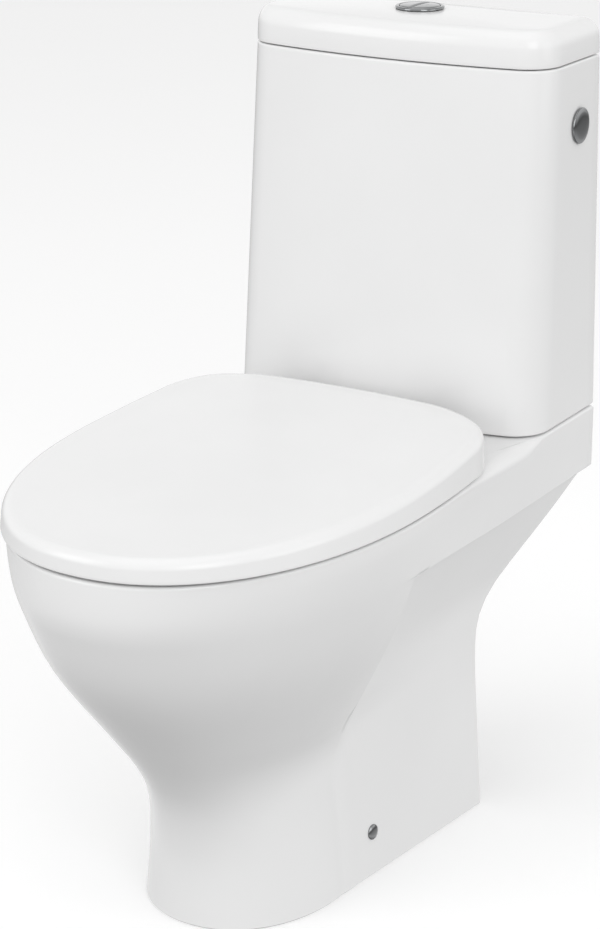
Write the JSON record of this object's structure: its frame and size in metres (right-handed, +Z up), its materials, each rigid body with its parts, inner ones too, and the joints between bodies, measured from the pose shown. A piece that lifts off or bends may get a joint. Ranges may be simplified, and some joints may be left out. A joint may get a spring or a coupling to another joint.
{
  "type": "close coupled toilet",
  "caption": "Floor-standing close coupled toilet: rimless pan with horizontal outlet, cistern with dual flush push button, soft-close seat and wrap-over lid.",
  "frame": {"origin": "on the floor, at the centre of the object's box in x and y", "axes": "+Z up, +Y towards the wall behind the cistern, -Y towards the bowl's nose, +X to the right of someone who faces the toilet"},
  "size_m": [0.3636, 0.6537, 0.794],
  "materials": {
    "glazed_ceramic": "white vitreous china with a glossy glaze",
    "seat_plastic": "white moulded thermoset, gloss",
    "chrome": "polished chrome plate",
    "steel": "stainless steel",
    "brass": "turned brass",
    "white_plastic": "moulded white plastic, satin",
    "blue_plastic": "moulded blue plastic, satin",
    "grey_plastic": "moulded grey plastic, satin",
    "rubber": "black rubber",
    "foam_seal": "closed-cell foam rubber",
    "soft_pad": "soft translucent white elastomer"
  },
  "bodies": {
    "root": {"pan": "glazed_ceramic", "cistern_tank": "glazed_ceramic", "cistern_lid": "glazed_ceramic", "coupling_gasket": "foam_seal", "cistern_bolt_left": "brass", "bolt_seal_left": "rubber", "bolt_washer_left": "steel", "cistern_wing_nut_left": "brass", "cistern_bolt_right": "brass", "bolt_seal_right": "rubber", "bolt_washer_right": "steel", "cistern_wing_nut_right": "brass", "flush_valve_base": "white_plastic", "flush_valve_washer": "rubber", "flush_valve_back_nut": "white_plastic", "flush_valve_cage": "white_plastic", "fill_valve_body": "white_plastic", "fill_valve_washer": "rubber", "fill_valve_nut": "white_plastic", "side_inlet_cap": "chrome", "side_inlet_cap_nut": "white_plastic", "button_bezel": "chrome", "button_clamp_ring": "white_plastic", "hinge_post_left": "chrome", "hinge_pin_left": "steel", "hinge_bolt_left": "steel", "hinge_washer_left": "rubber", "hinge_wing_nut_left": "white_plastic", "hinge_post_right": "chrome", "hinge_pin_right": "steel", "hinge_bolt_right": "steel", "hinge_washer_right": "rubber", "hinge_wing_nut_right": "white_plastic", "floor_bracket_left": "white_plastic", "floor_bracket_screw_left": "steel", "side_fixing_screw_left": "steel", "side_fixing_cap_left": "chrome", "floor_bracket_right": "white_plastic", "floor_bracket_screw_right": "steel", "side_fixing_screw_right": "steel", "side_fixing_cap_right": "chrome"},
    "seat_ring": {"seat_ring": "seat_plastic", "ring_buffer_front_left": "soft_pad", "ring_buffer_rear_left": "soft_pad", "ring_buffer_front_right": "soft_pad", "ring_buffer_rear_right": "soft_pad"},
    "seat_lid": {"seat_lid": "seat_plastic", "lid_buffer_front_left": "soft_pad", "lid_buffer_rear_left": "soft_pad", "lid_buffer_front_right": "soft_pad", "lid_buffer_rear_right": "soft_pad"},
    "full_button": {"full_flush_button": "chrome", "full_flush_push_rod": "blue_plastic"},
    "half_button": {"half_flush_button": "chrome", "half_flush_push_rod": "blue_plastic"},
    "flush_valve_lift": {"overflow_tube": "blue_plastic", "flush_valve_seal": "rubber"},
    "float": {"float": "grey_plastic", "float_arm": "blue_plastic"}
  },
  "joints": [
    {"name": "ring_hinge", "type": "hinge", "parent": "root", "child": "seat_ring", "pos_m": [0, 0.124, 0.422], "axis": [-1, 0, 0], "range_deg": [0, 97]},
    {"name": "lid_hinge", "type": "hinge", "parent": "seat_ring", "child": "seat_lid", "pos_m": [0, 0.124, 0.422], "axis": [1, 0, 0], "range_deg": [-97, 0]},
    {"name": "full_flush_press", "type": "slide", "parent": "root", "child": "full_button", "axis": [0, 0, -1], "range_m": [0, 0.006], "stiffness_N_per_m": 800, "springref_m": -0.003},
    {"name": "half_flush_press", "type": "slide", "parent": "root", "child": "half_button", "axis": [0, 0, -1], "range_m": [0, 0.006], "stiffness_N_per_m": 800, "springref_m": -0.003},
    {"name": "flush_valve_slide", "type": "slide", "parent": "root", "child": "flush_valve_lift", "axis": [0, 0, 1], "range_m": [0, 0.01]},
    {"name": "float_hinge", "type": "hinge", "parent": "root", "child": "float", "pos_m": [-0.1, 0.2825, 0.709], "axis": [-1, 0, 0], "range_deg": [0, 22]}
  ],
  "couplings": [
    {"joint": "flush_valve_slide", "follows": "full_flush_press", "ratio": 1.6}
  ]
}
